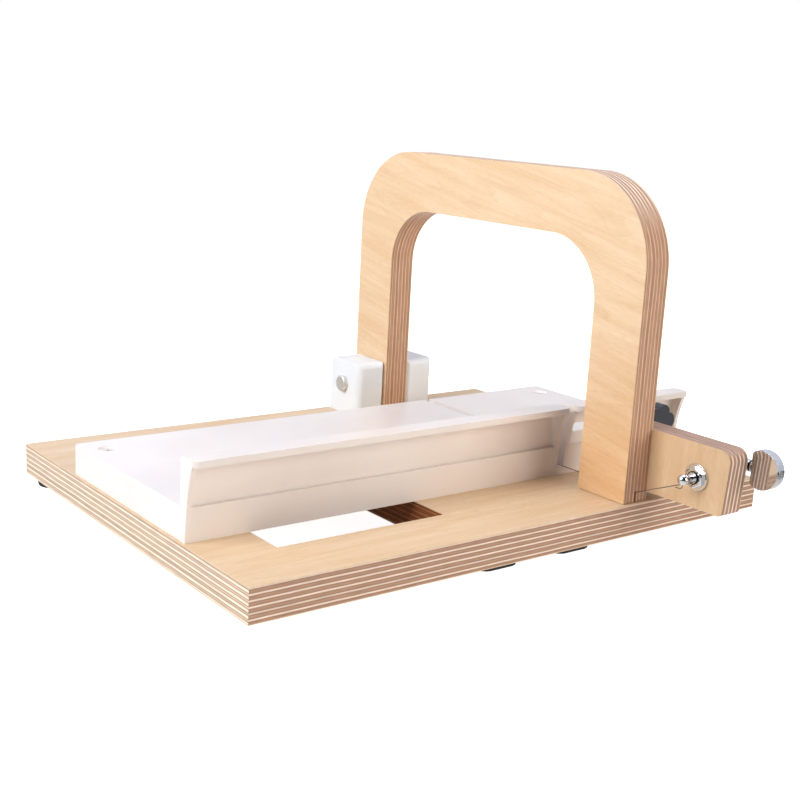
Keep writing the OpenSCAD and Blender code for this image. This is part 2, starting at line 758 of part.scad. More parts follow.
// A round tube of diameter d along a list of points, as one closed surface of n sides
module tube(route, d, n) {
    count = len(route);
    rings = [for (i = [0:count - 1])
        let (back = route[max(i - 1, 0)], ahead = route[min(i + 1, count - 1)],
             t = unit(ahead - back), u = unit(cross(t, [1, 0, 0])), v = cross(t, u))
        for (k = [0:n - 1]) route[i] + d / 2 * (u * cos(k * 360 / n) + v * sin(k * 360 / n))];
    sides = [for (i = [0:count - 2], k = [0:n - 1])
        let (a = i * n + k, b = i * n + (k + 1) % n) each [[a, b, b + n], [a, b + n, a + n]]];
    first = [for (k = [1:n - 2]) [0, k + 1, k]];
    last = [for (k = [1:n - 2]) [0, k, k + 1] + [1, 1, 1] * (count - 1) * n];
    polyhedron(rings, concat(sides, first, last));
}

// The steel cutting wire
module cutting_wire() {
    color(steel) tube(wire_route(), wire_d, 8);
}

// Brass ball end that the wire is looped through, seated in the far leg
module wire_ball_end() {
    color(brass) difference() {
        rod([wire_x, anchor_y, wire_z], "y", ball_end_d, ball_end_l);
        rod([wire_x, anchor_y + ball_end_l / 2, wire_z - ball_end_d], "z", 1.2, ball_end_d * 2);
    }
}

// Y-Z outline of the housing, grown by g: round the gear, squarer round the worm
module case_outline(g) {
    round_rect([post_y - case_in_r - g, post_z - case_in_r - g],
               [post_y + case_in_r + g, worm_z + worm_r + case_gap + g], case_r + g / 2);
}

// Housing behind the arm: a cast cup with an ear below and a neck towards the button
module tuner_housing() {
    color(chrome) difference() {
        union() {
            along_x(case_x0, case_x1 - case_x0) case_outline(case_wall);
            along_x(case_x0, 2) hull() {
                translate([post_y, ear_z]) circle(ear_r);
                translate([post_y - 3, post_z]) square([6, 1]);
            }
            rod([gear_x, neck_y, worm_z], "y", neck_d, case_y0 - neck_y + 1);
        }
        along_x(case_x0 - over, case_x1 - case_x0 - case_wall + over) case_outline(0);
        rod([gear_x, neck_y - over, worm_z], "y", worm_shaft_d + 2 * run_fit,
            case_y1 - shaft_end / 2 - neck_y + over);
        rod([case_x0 - over, post_y, ear_z], "x", ear_screw_d + 2 * loose_fit, 4);
    }
}

// Plate between the housing and the arm, with the post's rear bearing
module tuner_plate() {
    color(chrome) difference() {
        along_x(arm_x1, case_plate_t) {
            case_outline(case_wall);
            hull() {
                translate([post_y, ear_z]) circle(ear_r);
                translate([post_y - 3, post_z]) square([6, 1]);
            }
        }
        rod([arm_x1 - over, post_y, post_z], "x", post_d + 2 * run_fit, case_plate_t + 2 * over);
        rod([arm_x1 - over, post_y, ear_z], "x", ear_screw_d + 2 * loose_fit, case_plate_t + 2 * over);
    }
}

// Small screw through the housing's ear
module housing_screw() {
    color(chrome) translate([case_x0 + 2, post_y, ear_z]) rotate([0, 90, 0]) difference() {
        union() {
            cylinder(d = ear_head_d, h = ear_head_h);
            translate([0, 0, -2 - case_plate_t - ear_screw_l])
                cylinder(d = ear_screw_d, h = 2.1 + case_plate_t + ear_screw_l);
        }
        translate([0, 0, ear_head_h]) cross_recess(3);
    }
}

// Hexagonal bushing that clamps the tuner and guides the post
module tuner_bushing() {
    color(chrome) difference() {
        union() {
            translate([arm_x0 - tuner_washer_t, post_y, post_z]) rotate([0, -90, 0]) intersection() {
                cylinder(d = bush_af / cos(30), h = bush_head_h, $fn = 6);
                union() {
                    cylinder(d = bush_round_d, h = bush_head_h * 0.6);
                    translate([0, 0, bush_head_h * 0.6])
                        cylinder(d1 = bush_round_d, d2 = bush_af * 0.82, h = bush_head_h * 0.4);
                }
            }
            rod([arm_x0 - tuner_washer_t - 0.5, post_y, post_z], "x", bush_d,
                bush_l + tuner_washer_t + 0.5);
        }
        rod([arm_x0 - tuner_washer_t - bush_head_h - over, post_y, post_z], "x",
            post_d + 2 * run_fit, bush_head_h + tuner_washer_t + bush_l + 2 * over);
    }
}

// Washer between the bushing and the arm
module tuner_washer() {
    color(chrome) difference() {
        rod([arm_x0 - tuner_washer_t, post_y, post_z], "x", tuner_washer_d, tuner_washer_t);
        rod([arm_x0 - tuner_washer_t - over, post_y, post_z], "x",
            bush_d + 2 * loose_fit, tuner_washer_t + 2 * over);
    }
}

// Black ring round the post where it leaves the bushing
module post_ring() {
    color(rubber) difference() {
        rod([ring_x, post_y, post_z], "x", post_d + 1.3, ring_t);
        rod([ring_x - over, post_y, post_z], "x", post_d + 2 * run_fit, ring_t + 2 * over);
    }
}

// Post, turned in one piece: ball tip, waist for the wire, journal, and the gear's seat
module tuner_post() {
    shoulder = ring_x - 0.2 - post_tip_x;
    seat = case_x0 - post_tip_x;
    end = gear_x + gear_w / 2 - post_tip_x;
    color(chrome) translate([post_tip_x, post_y, post_z]) rotate([0, 90, 0]) difference() {
        rotate_extrude() {
            intersection() {
                translate([0, post_ball_d / 2]) circle(d = post_ball_d);
                square([post_ball_d, post_ball_d]);
            }
            translate([0, post_ball_d / 2]) square([post_waist_d / 2, seat]);
            translate([0, shoulder]) square([post_d / 2, seat - shoulder]);
            translate([0, shoulder]) square([gear_seat_d / 2, end - shoulder]);
        }
        translate([0, 0, end - gear_w]) cylinder(d = 1.6 + 2 * run_fit, h = gear_w + over);
    }
}

// Worm gear on the post's end, with a tooth space facing the worm
module tuner_gear() {
    tip_r = gear_d / 2;
    root_r = tip_r - 1;
    tooth = 360 / gear_teeth;
    color(brass) difference() {
        along_x(gear_x - gear_w / 2, gear_w) translate([post_y, post_z]) {
            circle(root_r);
            for (i = [0:gear_teeth - 1]) rotate(90 + (i + 0.5) * tooth)
                polygon([[root_r - 0.5, -0.8], [root_r, -0.62], [tip_r, -0.33],
                         [tip_r, 0.33], [root_r, 0.62], [root_r - 0.5, 0.8]]);
        }
        rod([gear_x - gear_w, post_y, post_z], "x", gear_seat_d + 2 * run_fit, 2 * gear_w);
    }
}

// Screw that holds the gear on the post
module gear_screw() {
    color(steel) translate([gear_x + gear_w / 2, post_y, post_z]) rotate([0, 90, 0]) difference() {
        union() {
            cylinder(d = 5.2, h = 1.2);
            translate([0, 0, -gear_w + 0.8]) cylinder(d = 1.6, h = gear_w);
        }
        translate([0, 0, 1.2]) cross_recess(2.6);
    }
}

// Worm and its shaft: one right-handed start that runs in the gear's tooth spaces
module worm_shaft() {
    color(steel) difference() {
        union() {
            translate([gear_x, post_y - worm_l / 2, worm_z]) rotate([-90, 0, 0])
                linear_extrude(worm_l, twist = -360 * worm_turns, slices = 10 * worm_turns)
                    translate([0, worm_offset]) circle(worm_r - worm_offset, $fn = 14);
            rod([gear_x, button_y1 - button_grip, worm_z], "y", worm_shaft_d,
                case_y1 - shaft_end - button_y1 + button_grip);
        }
        rod([gear_x, button_y1 - button_grip - over, worm_z], "y", button_screw_d + 2 * run_fit, 5.5);
    }
}

// A ring round the worm's shaft from y0
module shaft_ring(y0, t, d) {
    difference() {
        rod([gear_x, y0, worm_z], "y", d, t);
        rod([gear_x, y0 - over, worm_z], "y", worm_shaft_d + 2 * run_fit, t + 2 * over);
    }
}
module friction_washer() { color(rubber) shaft_ring(collar_y + collar_t, friction_t, neck_d - 0.8); }
module shaft_collar() { color(chrome) shaft_ring(collar_y, collar_t, neck_d - 0.2); }

// Y-Z outline of the button: a disc with a flat towards the arm
module button_outline() {
    offset(r = button_corner) offset(delta = -button_corner) intersection() {
        translate([button_y0 + button_h / 2, worm_z]) circle(button_h / 2, $fn = 72);
        translate([button_y0, worm_z - button_h / 2]) square([button_l, button_h]);
    }
}

// Tuner button on the worm's shaft
module tuner_button() {
    color(chrome) difference() {
        along_x(gear_x - button_t / 2, button_t) button_outline();
        rod([gear_x, button_y1 - button_grip - 0.3, worm_z], "y",
            worm_shaft_d + 2 * run_fit, button_grip + over);
        rod([gear_x, button_y0 - over, worm_z], "y", button_screw_d + 2 * run_fit, button_l);
        rod([gear_x, button_y0 - over, worm_z], "y", 4.6, 1.5 + over);
    }
}

// Screw in the button's outer rim
module button_screw() {
    color(steel) translate([gear_x, button_y0 + 1.5, worm_z]) rotate([90, 0, 0]) difference() {
        union() {
            cylinder(d = 4.2, h = 1.5);
            translate([0, 0, -button_l + 3]) cylinder(d = button_screw_d, h = button_l - 2.9);
        }
        translate([0, 0, 1.5]) cross_recess(2.6);
    }
}

// Angle-metal stop: a foot on the fence and a plate across the bed
module stop_plate() {
    color(aluminium) difference() {
        union() {
            translate([stop_face_x, stop_y, stop_z]) cube([stop_foot, stop_t, stop_h]);
            translate([stop_face_x, stop_y, stop_z]) cube([stop_t, stop_reach, stop_h]);
        }
        rod([stud_x, stop_y - over, window_z], "y", stop_bolt_d + 2 * run_fit, stop_t + 2 * over);
    }
}

// Hexagon bolt from the stop through the window into the knob
module stop_bolt() {
    head_y = stop_y + stop_t;
    color(steel) {
        translate([stud_x, head_y, window_z]) rotate([-90, 0, 0])
            cylinder(d = stop_head_af / cos(30), h = stop_head_h, $fn = 6);
        rod([stud_x, knob_y0 + 2, window_z], "y", stop_bolt_d, head_y - knob_y0 - 2 + 0.5);
    }
}

// Washer between the fence and the knob's hub
module stop_washer() {
    color(steel) difference() {
        rod([stud_x, washer_y0, window_z], "y", hub_d + 1, stop_washer_t);
        rod([stud_x, washer_y0 - over, window_z], "y", stop_bolt_d + 2 * loose_fit,
            stop_washer_t + 2 * over);
    }
}

// Six-lobed knob with its hub under the lip
module stop_knob() {
    reach = knob_d / 2 - lobe_r;
    color(slate) difference() {
        union() {
            translate([stud_x, knob_y1, window_z]) rotate([90, 0, 0]) linear_extrude(knob_t) {
                circle(reach + 1.2);
                for (i = [0:knob_lobes - 1]) rotate(i * 360 / knob_lobes + knob_turn)
                    translate([reach, 0]) circle(lobe_r);
            }
            rod([stud_x, knob_y1 - 0.5, window_z], "y", hub_d, hub_y1 - knob_y1 + 0.5);
        }
        rod([stud_x, knob_y0 + 1.6, window_z], "y", insert_d + 2 * run_fit, hub_y1 - knob_y0);
    }
}

// Brass insert moulded into the knob
module knob_insert() {
    color(brass) difference() {
        rod([stud_x, knob_y0 + 1.7, window_z], "y", insert_d, hub_y1 - knob_y0 - 1.7);
        rod([stud_x, knob_y0, window_z], "y", stop_bolt_d + 2 * run_fit, hub_y1 - knob_y0 + over);
    }
}

base_board();
round_feet();
foot_screws();
front_pads();
tray();
tray_screws();
pivot_block_front();
pivot_block_rear();
block_screws();
pivot_bolt();
pivot_washer();
pivot_nut();
bow_frame();
tuner_arm();
arm_screws();
cutting_wire();
wire_ball_end();
tuner_housing();
tuner_plate();
housing_screw();
tuner_bushing();
tuner_washer();
post_ring();
tuner_post();
tuner_gear();
gear_screw();
worm_shaft();
friction_washer();
shaft_collar();
tuner_button();
button_screw();
stop_plate();
stop_bolt();
stop_washer();
stop_knob();
knob_insert();
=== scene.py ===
import math

import bpy
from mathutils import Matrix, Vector


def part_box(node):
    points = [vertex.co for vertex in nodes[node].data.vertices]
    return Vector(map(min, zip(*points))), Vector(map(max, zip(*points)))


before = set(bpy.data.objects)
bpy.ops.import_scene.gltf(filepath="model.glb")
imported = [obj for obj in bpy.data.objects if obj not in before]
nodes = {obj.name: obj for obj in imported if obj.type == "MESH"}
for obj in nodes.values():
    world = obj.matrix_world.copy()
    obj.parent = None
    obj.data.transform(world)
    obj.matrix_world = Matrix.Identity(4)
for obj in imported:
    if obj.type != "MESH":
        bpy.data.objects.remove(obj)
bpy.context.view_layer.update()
scene = bpy.context.scene
scene.view_settings.view_transform = "Standard"
mm = 0.001
print("frame loaded,", len(nodes), "nodes")

# a Mix node's sockets have numbers, since its names repeat
blend, floatA, floatB, colourA, colourB = 0, 2, 3, 6, 7
mixedColour = 2
noiseSpread = (0.3, 0.7)  # where nearly all of a noise's values lie


def linear(hexColour):  # sRGB hex to the linear colour that Blender's sockets take
    parts = [int(hexColour[i:i + 2], 16) / 255 for i in (1, 3, 5)]
    return [c / 12.92 if c <= 0.04045 else ((c + 0.055) / 1.055) ** 2.4 for c in parts] + [1]


def addNode(tree, kind, links=None, **settings):
    node = tree.nodes.new("ShaderNode" + kind)
    for name, value in settings.items():
        setattr(node, name, value)
    for socket, value in (links or {}).items():
        if isinstance(value, bpy.types.NodeSocket):
            tree.links.new(value, node.inputs[socket])
        else:
            node.inputs[socket].default_value = value
    return node


def span(side, ends):  # a range, as the two sockets of its From or To side
    return {side + " Min": ends[0], side + " Max": ends[1]}


def newMaterial(name, look):  # look holds the shader's sockets that are the same all over
    material = bpy.data.materials.new(name)
    material.use_nodes = True
    tree = material.node_tree
    shader = tree.nodes["Principled BSDF"]
    for socket, value in look.items():
        shader.inputs[socket].default_value = linear(value) if isinstance(value, str) else value
    return material, tree, shader, addNode(tree, "TexCoord")


def addObject(name, data):
    thing = bpy.data.objects.new(name, data)
    scene.collection.objects.link(thing)
    return thing


# camera

camera = {
    "place": (-440.3 * mm, -572.9 * mm, 226.5 * mm),
    "turn": (76.673, -2.934, -37.039),  # degrees, found from the board's edges
    "lens": 56.65, "sensor": 36,  # mm
    "clipStart": 10 * mm,
}
lens = bpy.data.cameras.new("camera")
lens.lens = camera["lens"]
lens.sensor_width = camera["sensor"]
lens.clip_start = camera["clipStart"]
scene.camera = addObject("camera", lens)
scene.camera.location = camera["place"]
scene.camera.rotation_euler = [math.radians(a) for a in camera["turn"]]


# four softboxes, in metres and watts

softboxes = {
    "leftSoftbox": {"place": (-1.2, 0.1, 0.8), "width": 0.9, "watts": 19, "colour": "#f8fbff"},
    "topSoftbox": {"place": (0.1, 0.1, 1.5), "width": 1.4, "watts": 10, "colour": "#f1f1ff"},
    "frontFill": {"place": (1.2, -2.4, 0.85), "width": 2.0, "watts": 52, "colour": "#fff9f0"},
    "backSoftbox": {"place": (0.1, 1.3, 0.9), "width": 1.0, "watts": 2.5, "colour": "#d2e2ff"},
}
lampAim = Vector((0, 0, 0.05))  # just above the middle of the board
for name, softbox in softboxes.items():
    lamp = bpy.data.lights.new(name, "AREA")
    lamp.shape = "SQUARE"
    lamp.size = softbox["width"]
    lamp.energy = softbox["watts"]
    lamp.color = linear(softbox["colour"])[:3]
    lampObject = addObject(name, lamp)
    lampObject.location = softbox["place"]
    turn = (lampAim - Vector(softbox["place"])).to_track_quat("-Z", "Y")
    lampObject.rotation_euler = turn.to_euler()


# the room: white to the camera, a dim lamp to the object, and half dark where metal mirrors it

room = {
    "backdrop": "#ffffff",
    "ambient": 0.12,
    "ambientColour": "#e4e9f6",
    "darkSide": (-0.6, -0.78, 0.15),  # where the unlit half lies
    "darkFades": (-0.1, 0.45),  # where the lit half ends and the dark one begins, along darkSide
    "litLevel": 0.95,
    "darkLevel": 0.06,
}
scene.world = bpy.data.worlds.new("studioWorld")
scene.world.use_nodes = True
tree = scene.world.node_tree
tree.nodes.clear()
rays = addNode(tree, "LightPath")
straight = addNode(tree, "Math", {
    0: rays.outputs["Is Camera Ray"], 1: rays.outputs["Is Transmission Ray"],
}, operation="MAXIMUM").outputs[0]
direction = addNode(tree, "TexCoord").outputs["Generated"]
towardsDark = addNode(tree, "VectorMath", {0: direction, 1: room["darkSide"]},
                      operation="DOT_PRODUCT").outputs["Value"]
mirrored = addNode(tree, "MapRange", {
    "Value": towardsDark, **span("From", room["darkFades"]),
    **span("To", (room["litLevel"], room["darkLevel"])),
}).outputs[0]
level = addNode(tree, "Mix", {blend: straight, floatA: room["ambient"], floatB: 1.0}).outputs[0]
level = addNode(tree, "Mix", {
    blend: rays.outputs["Is Glossy Ray"], floatA: level, floatB: mirrored,
}).outputs[0]
colour = addNode(tree, "Mix", {
    blend: straight, colourA: linear(room["ambientColour"]), colourB: linear(room["backdrop"]),
}, data_type="RGBA").outputs[mixedColour]
backdrop = addNode(tree, "Background", {"Color": colour, "Strength": level})
addNode(tree, "OutputWorld", {"Surface": backdrop.outputs[0]})


# the floor: a white paper sweep that glows a little, as the photograph is nearly free of shadow

paperSweep = {
    "look": {"Base Color": "#e7e7e7", "Roughness": 0.9},
    "height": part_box("round_feet")[0].z,  # the rubber feet stand on it
    "width": 8,  # metres
    "glow": 0.93,
    "mirroredEdge": (0.2, 0.5),  # metres from the object's middle, where metal mirrors its end
}
half = paperSweep["width"] / 2
paperMesh = bpy.data.meshes.new("floor")
paperMesh.from_pydata([(x * half, y * half, paperSweep["height"])
                       for x, y in ((-1, -1), (1, -1), (1, 1), (-1, 1))], [], [(0, 1, 2, 3)])
paper, tree, shader, coords = newMaterial("whitePaperSweep", paperSweep["look"])
rays = addNode(tree, "LightPath")
glow = addNode(tree, "Emission", {"Strength": paperSweep["glow"]})
glowing = addNode(tree, "AddShader", {0: shader.outputs[0], 1: glow.outputs[0]})
surface = addNode(tree, "MixShader", {
    0: rays.outputs["Is Camera Ray"], 1: shader.outputs[0], 2: glowing.outputs[0],
})
fromMiddle = addNode(tree, "VectorMath", {0: coords.outputs["Object"]},
                     operation="LENGTH").outputs["Value"]
mirrored = addNode(tree, "MapRange", {
    "Value": fromMiddle, **span("From", paperSweep["mirroredEdge"]),
    **span("To", (paperSweep["glow"], room["darkLevel"])),
})
mirrored = addNode(tree, "Emission", {"Strength": mirrored.outputs[0]})
surface = addNode(tree, "MixShader", {
    0: rays.outputs["Is Glossy Ray"], 1: surface.outputs[0], 2: mirrored.outputs[0],
})
tree.links.new(surface.outputs[0], tree.nodes["Material Output"].inputs["Surface"])
paperMesh.materials.append(paper)
floor = addObject("floor", paperMesh)
print("camera and studio set")


# birch plywood: sanded and oiled, with a calm veneer on its faces that takes a low sheen, and
# dry sawn edges where light and brown plies show

birch = {  # lengths in mm; shares are of the pitch of a light and a brown ply together
    "finish": {"Specular IOR Level": 0.35},
    "faceRoughness": 0.45, "edgeRoughness": 0.75,
    "relief": 0.05, "reliefStrength": 0.25,
    "pliesPitch": 3.0, "pliesShift": 0.6,
    "lightShare": 0.39, "lightPly": "#ffe6d0", "brownPly": "#bf967b",
    "endLightShare": 0.38, "endLight": "#fbe8d0", "endBrown": "#e0c3a7",
    "plyBlur": 0.05,  # a share
    "plyTones": (0.9, 1.08),
    "glueWidth": 0.16, "glueDark": 0.55, "glueLine": "#6f4f3e",  # its width is a share
    "sway": 0.2, "swayLength": 40, "swayDepth": 60,
    "fibreLength": 10, "fibreWidth": 0.5, "fibreDepth": 0.28,  # coarser than real, to show
    "endFacing": (0.45, 0.85),  # how squarely an edge faces the grain, from long to end grain
    "faceVeneer": 0.5, "veneerBlur": 0.1,
    "faceFacing": (0.6, 0.85),  # how squarely a surface faces the depth, from edge to face
    "skin": 1.2,  # deeper walls, as in a cut, are no face
    "veneer": "#ebd1b0", "veneerDark": "#e3c299", "bandLength": 80, "bandWidth": 7,
    "rings": 13, "ringScale": 0.4, "ringFade": 0.8, "ringDark": 0.16, "ringLine": "#d6a873",
    "poreLength": 5, "poreWidth": 0.5, "poreSpread": (0.25, 0.6), "poreTones": (0.9, 1.0),
}


def along(tree, vector, direction):
    return addNode(tree, "VectorMath", {0: vector, 1: direction},
                   operation="DOT_PRODUCT").outputs["Value"]


def stretched(tree, *axes):  # a noise's place, from a distance and a size in mm for each axis
    return addNode(tree, "CombineXYZ", {
        axis: addNode(tree, "Math", {0: distance, 1: 1 / size}, operation="MULTIPLY").outputs[0]
        for axis, (distance, size) in enumerate(axes)
    }).outputs[0]


def boardSpot(tree, board, coords):  # where a point of the board lies, in mm, and how it faces
    place = addNode(tree, "VectorMath", {0: coords.outputs["Object"], "Scale": 1 / mm},
                    operation="SCALE").outputs[0]
    depthAxis = Vector(board["depthAxis"])
    grain = Vector(board["grain"]).normalized()
    depth = addNode(tree, "Math", {0: along(tree, place, depthAxis), 1: board["lowFace"]},
                    operation="SUBTRACT").outputs[0]
    toHighFace = addNode(tree, "Math", {0: board["thickness"], 1: depth},
                         operation="SUBTRACT").outputs[0]
    toFace = addNode(tree, "Math", {0: depth, 1: toHighFace}, operation="MINIMUM").outputs[0]
    veneerEnds = (board["faceVeneer"] - board["veneerBlur"],
                  board["faceVeneer"] + board["veneerBlur"])
    normal = coords.outputs["Normal"]
    return {
        "place": place,
        "onGrain": along(tree, place, grain),
        "onAcross": along(tree, place, depthAxis.cross(grain)),
        "depth": depth,
        "toFace": toFace,
        "inner": addNode(tree, "MapRange", {  # 0 in both face veneers, 1 between them
            "Value": toFace, **span("From", veneerEnds)}).outputs[0],
        "facesGrain": addNode(tree, "Math", {0: along(tree, normal, grain)},
                              operation="ABSOLUTE").outputs[0],
        "facesDepth": addNode(tree, "Math", {0: along(tree, normal, depthAxis)},
                              operation="ABSOLUTE").outputs[0],
    }


def edgePlies(tree, board, spot):
    # the plies sway a little, each in its own way, as pressed veneers do
    swayPlace = stretched(tree, (spot["onGrain"], board["swayLength"]),
                          (spot["onAcross"], board["swayLength"]),
                          (spot["depth"], board["swayDepth"]))
    sway = addNode(tree, "TexNoise", {"Vector": swayPlace, "Scale": 1.0, "Detail": 1})
    shifts = (board["pliesShift"] - board["sway"], board["pliesShift"] + board["sway"])
    shift = addNode(tree, "MapRange", {"Value": sway.outputs["Fac"], **span("To", shifts)})
    level = addNode(tree, "Math", {0: spot["depth"], 1: shift.outputs[0]},
                    operation="ADD").outputs[0]

    # how far a point lies from a light ply's middle, in shares of the pitch
    pairs = addNode(tree, "Math", {0: level, 1: board["pliesPitch"]},
                    operation="DIVIDE").outputs[0]
    nearest = addNode(tree, "Math", {0: pairs}, operation="ROUND").outputs[0]
    offMiddle = addNode(tree, "Math", {0: pairs, 1: nearest}, operation="SUBTRACT").outputs[0]
    offMiddle = addNode(tree, "Math", {0: offMiddle}, operation="ABSOLUTE").outputs[0]
    offMiddle = addNode(tree, "Math", {0: offMiddle, 1: spot["inner"]},
                        operation="MULTIPLY").outputs[0]  # both face veneers are light plies

    def past(edge):  # 0 within this distance of a light ply's middle, 1 beyond it
        blur = (edge - board["plyBlur"], edge + board["plyBlur"])
        return addNode(tree, "MapRange", {"Value": offMiddle, **span("From", blur)},
                       interpolation_type="SMOOTHSTEP").outputs[0]

    # a ply is light along its grain and brown where the grain ends at the edge
    lightEdge = board["lightShare"] / 2
    endLightEdge = 0.5 - board["endLightShare"] / 2
    longSide = addNode(tree, "Mix", {
        blend: past(lightEdge),
        colourA: linear(board["lightPly"]), colourB: linear(board["brownPly"]),
    }, data_type="RGBA").outputs[mixedColour]
    endSide = addNode(tree, "Mix", {
        blend: past(endLightEdge),
        colourA: linear(board["endBrown"]), colourB: linear(board["endLight"]),
    }, data_type="RGBA").outputs[mixedColour]
    endGrain = addNode(tree, "MapRange", {
        "Value": spot["facesGrain"], **span("From", board["endFacing"]),
    }, interpolation_type="SMOOTHSTEP").outputs[0]
    plies = addNode(tree, "Mix", {blend: endGrain, colourA: longSide, colourB: endSide},
                    data_type="RGBA").outputs[mixedColour]

    # each ply has its own tone, and fibres run along it
    plyNumber = addNode(tree, "Math", {0: pairs, 1: 2.0}, operation="MULTIPLY").outputs[0]
    plyNumber = addNode(tree, "Math", {0: plyNumber}, operation="ROUND").outputs[0]
    chance = addNode(tree, "TexWhiteNoise", {"W": plyNumber}, noise_dimensions="1D")
    plyTone = addNode(tree, "MapRange", {
        "Value": chance.outputs["Value"], **span("To", board["plyTones"]),
    })
    fibrePlace = stretched(tree, (spot["onGrain"], board["fibreLength"]),
                           (spot["onAcross"], board["fibreLength"]),
                           (level, board["fibreWidth"]))
    fibres = addNode(tree, "TexNoise", {
        "Vector": fibrePlace, "Scale": 1.0, "Detail": 4, "Roughness": 0.65,
    }).outputs["Fac"]
    fibreTones = (1 - board["fibreDepth"], 1 + board["fibreDepth"] / 2)
    fibreTone = addNode(tree, "MapRange", {
        "Value": fibres, **span("From", noiseSpread), **span("To", fibreTones),
    })
    tone = addNode(tree, "Math", {0: plyTone.outputs[0], 1: fibreTone.outputs[0]},
                   operation="MULTIPLY").outputs[0]
    plies = addNode(tree, "VectorMath", {0: plies, "Scale": tone}, operation="SCALE").outputs[0]

    # dark glue lines between the plies
    toGlue = addNode(tree, "Math", {0: offMiddle, 1: lightEdge}, operation="SUBTRACT").outputs[0]
    toGlue = addNode(tree, "Math", {0: toGlue}, operation="ABSOLUTE").outputs[0]
    glue = addNode(tree, "MapRange", {
        "Value": toGlue, **span("From", (0.0, board["glueWidth"])),
        **span("To", (board["glueDark"], 0.0)),
    }).outputs[0]
    plies = addNode(tree, "Mix", {
        blend: glue, colourA: plies, colourB: linear(board["glueLine"]),
    }, data_type="RGBA").outputs[mixedColour]
    return plies, fibres


def shadedCutOutPlies(tree, board, spot, plies):  # painted shade: the walls of the cut-out are darkened to a warm brown, for the shade and warm bounce light inside it
    low, high = (Vector(corner) for corner in board["cutOutShadeBox"])
    offset = addNode(tree, "VectorMath", {0: spot["place"], 1: (low + high) / 2},
                     operation="SUBTRACT").outputs[0]
    offset = addNode(tree, "VectorMath", {0: offset}, operation="ABSOLUTE").outputs[0]
    toWall = addNode(tree, "VectorMath", {0: (high - low) / 2, 1: offset}, operation="SUBTRACT")
    toWall = addNode(tree, "SeparateXYZ", {0: toWall.outputs[0]})
    toWall = addNode(tree, "Math", {0: toWall.outputs["X"], 1: toWall.outputs["Y"]},
                     operation="MINIMUM").outputs[0]
    within = addNode(tree, "Math", {0: toWall, 1: -board["cutOutShadeReach"]},
                     operation="GREATER_THAN").outputs[0]
    return addNode(tree, "Mix", {
        blend: within, colourA: plies, colourB: linear(board["cutOutShadeTint"]),
    }, data_type="RGBA", blend_type="MULTIPLY").outputs[mixedColour]


def faceVeneer(tree, board, spot):
    # broad bands of tone
    bandPlace = stretched(tree, (spot["onGrain"], board["bandLength"]),
                          (spot["onAcross"], board["bandWidth"]))
    bands = addNode(tree, "TexNoise", {
        "Vector": bandPlace, "Scale": 1.0, "Detail": 2, "Distortion": 0.6,
    }).outputs["Fac"]
    bandTone = addNode(tree, "MapRange", {"Value": bands, **span("From", noiseSpread)})
    veneer = addNode(tree, "Mix", {
        blend: bandTone.outputs[0],
        colourA: linear(board["veneerDark"]), colourB: linear(board["veneer"]),
    }, data_type="RGBA").outputs[mixedColour]

    # growth rings, cut nearly flat, leave fine lines that follow the bands
    rings = addNode(tree, "TexNoise", {
        "Vector": bandPlace, "Scale": board["ringScale"], "Detail": 1, "Distortion": 0.1,
    }).outputs["Fac"]
    rings = addNode(tree, "Math", {0: rings, 1: board["rings"]}, operation="MULTIPLY").outputs[0]
    rings = addNode(tree, "Math", {0: rings}, operation="FRACT").outputs[0]
    ringTone = addNode(tree, "MapRange", {
        "Value": rings, **span("From", (0.0, board["ringFade"])),
        **span("To", (board["ringDark"], 0.0)),
    })
    veneer = addNode(tree, "Mix", {
        blend: ringTone.outputs[0], colourA: veneer, colourB: linear(board["ringLine"]),
    }, data_type="RGBA").outputs[mixedColour]

    # painted shade: the veneer turns darker and warmer towards the bow's low near side
    if "lowSideShadeTint" in board:
        lowSideShade = addNode(tree, "MapRange", {
            "Value": along(tree, spot["place"], board["lowSideShadeTowards"]),
            **span("From", board["lowSideShadeSpan"]), **span("To", (1.0, 0.0)),
        }, interpolation_type="SMOOTHSTEP")
        veneer = addNode(tree, "Mix", {
            blend: lowSideShade.outputs[0], colourA: veneer, colourB: linear(board["lowSideShadeTint"]),
        }, data_type="RGBA", blend_type="MULTIPLY").outputs[mixedColour]

    # short fine pores along the grain
    porePlace = stretched(tree, (spot["onGrain"], board["poreLength"]),
                          (spot["onAcross"], board["poreWidth"]))
    pores = addNode(tree, "TexNoise", {
        "Vector": porePlace, "Scale": 1.0, "Detail": 2,
    }).outputs["Fac"]
    poreTone = addNode(tree, "MapRange", {
        "Value": pores, **span("From", board["poreSpread"]), **span("To", board["poreTones"]),
    })
    veneer = addNode(tree, "VectorMath", {0: veneer, "Scale": poreTone.outputs[0]},
                     operation="SCALE").outputs[0]
    return veneer, pores


